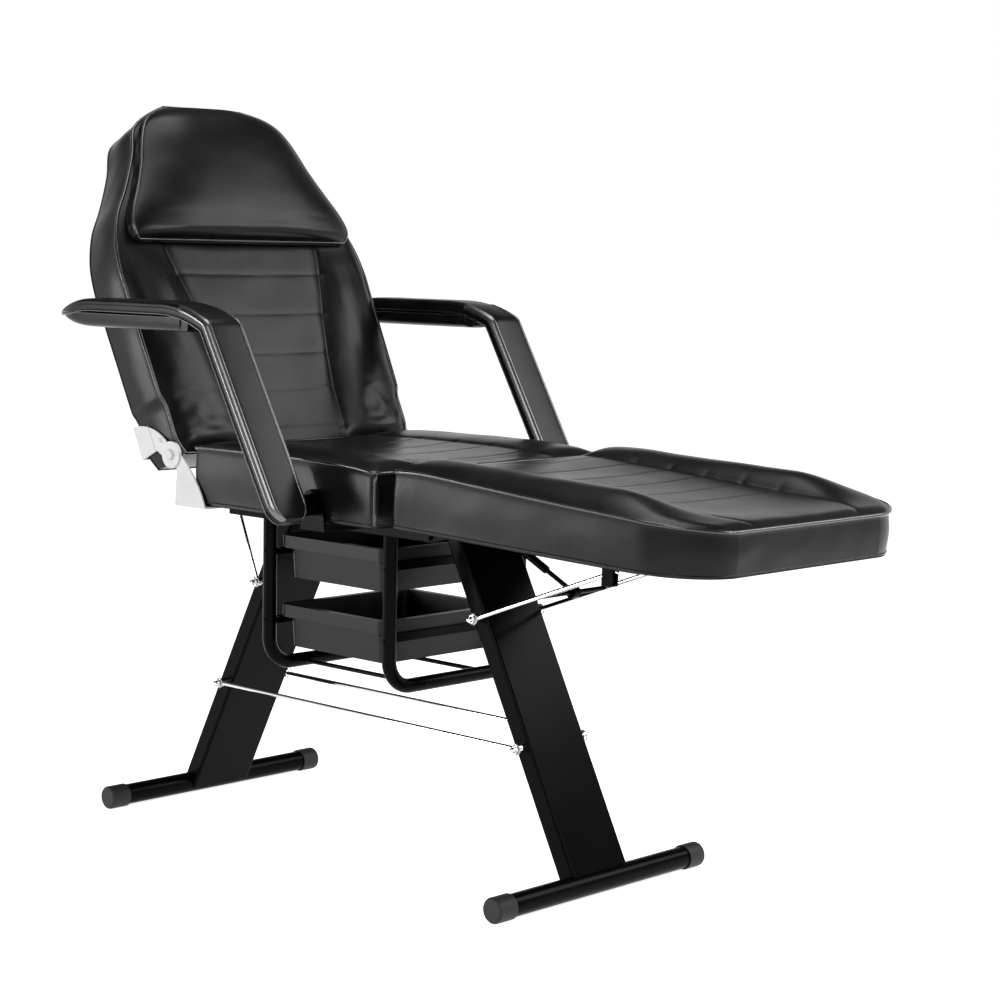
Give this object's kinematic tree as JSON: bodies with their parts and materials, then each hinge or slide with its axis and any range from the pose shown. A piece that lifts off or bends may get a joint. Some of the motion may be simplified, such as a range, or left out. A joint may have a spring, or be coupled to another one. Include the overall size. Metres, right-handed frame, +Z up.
{
  "type": "tattoo chair",
  "caption": "Folding tattoo and salon chair with a reclining padded back, a folding leg rest, swing armrests and two sliding tool trays on slanted legs.",
  "frame": {"origin": "on the floor, under the middle of the chair's outline at rest", "axes": "+X towards the foot end, +Y towards the sitter's left, +Z up"},
  "size_m": [1.5605, 0.766, 1.3282],
  "materials": {
    "black_frame": "black powder coat, satin",
    "black_tube": "black powder coat, satin",
    "bright_rod": "bright chromed steel rod",
    "bright_nut": "bright plated acorn nuts and spindles",
    "hinge_plate": "pale grey coated steel plate",
    "zinc_bolt": "zinc plated bolts and pins",
    "foot_cap": "black rubber",
    "board": "plywood board under a black lining",
    "black_upholstery": "glossy black artificial leather over foam",
    "arm_skin": "glossy black artificial leather over foam",
    "black_plastic": "moulded black plastic"
  },
  "bodies": {
    "base": {"rear_foot_tube": "black_tube", "front_foot_tube": "black_tube", "rear_foot_caps": "foot_cap", "front_foot_caps": "foot_cap", "rear_leg": "black_frame", "front_leg": "black_frame", "rod_spindles": "bright_nut", "acorn_nuts": "bright_nut", "tie_rod_left": "bright_rod", "tie_rod_right": "bright_rod", "seat_rail_left": "black_frame", "seat_rail_right": "black_frame", "seat_crossbar_rear": "black_frame", "seat_crossbar_front": "black_frame", "strut_bracket": "black_frame", "seat_board": "board", "seat_cushion": "black_upholstery", "seat_hinge_plate_left": "hinge_plate", "seat_hinge_plate_right": "hinge_plate", "back_hinge_bolts": "zinc_bolt", "leg_rest_hinge_pins": "zinc_bolt", "arm_bracket_left": "black_frame", "arm_bracket_right": "black_frame", "arm_pivot_bolts": "zinc_bolt", "rack_tube_rear": "black_tube", "rack_tube_front": "black_tube", "rack_rods": "black_tube", "tray_runners": "black_frame"},
    "backrest": {"back_board": "board", "back_cushion": "black_upholstery", "head_pillow": "black_upholstery", "back_hinge_plate_left": "hinge_plate", "back_hinge_plate_right": "hinge_plate", "back_stay_brackets": "black_frame"},
    "back_stay_sleeves": {"back_stay_sleeve_left": "black_tube", "back_stay_sleeve_right": "black_tube"},
    "back_stay_rods": {"back_stay_rod_left": "bright_rod", "back_stay_rod_right": "bright_rod"},
    "leg_rest": {"leg_rest_board": "board", "leg_rest_cushion": "black_upholstery", "leg_rest_hinge_arms": "black_frame", "leg_stay_guides": "black_frame", "handle_bracket": "black_frame"},
    "release_handle": {"release_handle": "black_frame"},
    "leg_stay": {"leg_stay_rod_left": "bright_rod", "leg_stay_rod_right": "bright_rod", "leg_stay_crossbar": "black_tube"},
    "strut_barrel": {"strut_barrel": "black_tube"},
    "strut_rod": {"strut_rod": "black_tube"},
    "arm_left": {"arm_bar_left": "black_frame", "arm_cover_left": "arm_skin", "arm_under_pad_left": "arm_skin", "arm_pad_end_left": "black_plastic"},
    "arm_right": {"arm_bar_right": "black_frame", "arm_cover_right": "arm_skin", "arm_under_pad_right": "arm_skin", "arm_pad_end_right": "black_plastic"},
    "tray_upper": {"tray_upper": "black_plastic"},
    "tray_lower": {"tray_lower": "black_plastic"}
  },
  "joints": [
    {"name": "back_recline", "type": "hinge", "parent": "base", "child": "backrest", "pos_m": [-0.4065, 0, 0.688], "axis": [0, -1, 0], "range_deg": [0, 64]},
    {"name": "back_stay_sleeve_swing", "type": "hinge", "parent": "backrest", "child": "back_stay_sleeves", "pos_m": [-0.5663, 0, 0.81033], "axis": [0, -1, 0], "range_deg": [-38.58, 0]},
    {"name": "back_stay_rod_swing", "type": "hinge", "parent": "base", "child": "back_stay_rods", "pos_m": [-0.41104, 0, 0.441], "axis": [0, -1, 0], "range_deg": [0, 26.42]},
    {"name": "leg_rest_fold", "type": "hinge", "parent": "base", "child": "leg_rest", "pos_m": [0.1335, 0, 0.5895], "axis": [0, 1, 0], "range_deg": [0, 32]},
    {"name": "leg_stay_swing", "type": "hinge", "parent": "base", "child": "leg_stay", "pos_m": [0.15053, 0, 0.442], "axis": [0, 1, 0], "range_deg": [0, 33.14]},
    {"name": "strut_swing", "type": "hinge", "parent": "base", "child": "strut_barrel", "pos_m": [0.11359, 0, 0.5895], "axis": [0, 1, 0], "range_deg": [0, 17.54]},
    {"name": "strut_extension", "type": "slide", "parent": "strut_barrel", "child": "strut_rod", "axis": [0.8971, 0, -0.4417], "range_m": [0, 0.05782]},
    {"name": "release_handle_squeeze", "type": "hinge", "parent": "leg_rest", "child": "release_handle", "pos_m": [0.39085, 0, 0.56518], "axis": [0, 1, 0], "range_deg": [0, 12], "stiffness_Nm_per_rad": 1, "springref_deg": -8.59},
    {"name": "arm_swing_left", "type": "hinge", "parent": "base", "child": "arm_left", "pos_m": [-0.0305, 0.3, 0.633], "axis": [0, -1, 0], "range_deg": [0, 60]},
    {"name": "arm_swing_right", "type": "hinge", "parent": "base", "child": "arm_right", "pos_m": [-0.0305, -0.3, 0.633], "axis": [0, -1, 0], "range_deg": [0, 60]},
    {"name": "tray_upper_slide", "type": "slide", "parent": "base", "child": "tray_upper", "axis": [0, -1, 0], "range_m": [0, 0.24]},
    {"name": "tray_lower_slide", "type": "slide", "parent": "base", "child": "tray_lower", "axis": [0, -1, 0], "range_m": [0, 0.24]}
  ],
  "couplings": [
    {"joint": "back_stay_sleeve_swing", "follows": "back_recline", "ratio": -0.595},
    {"joint": "back_stay_rod_swing", "follows": "back_recline", "ratio": 0.405},
    {"joint": "leg_stay_swing", "follows": "leg_rest_fold", "ratio": 1.02},
    {"joint": "strut_swing", "follows": "leg_rest_fold", "ratio": 0.5326},
    {"joint": "strut_extension", "follows": "leg_rest_fold", "m_per_rad": 0.10174}
  ]
}
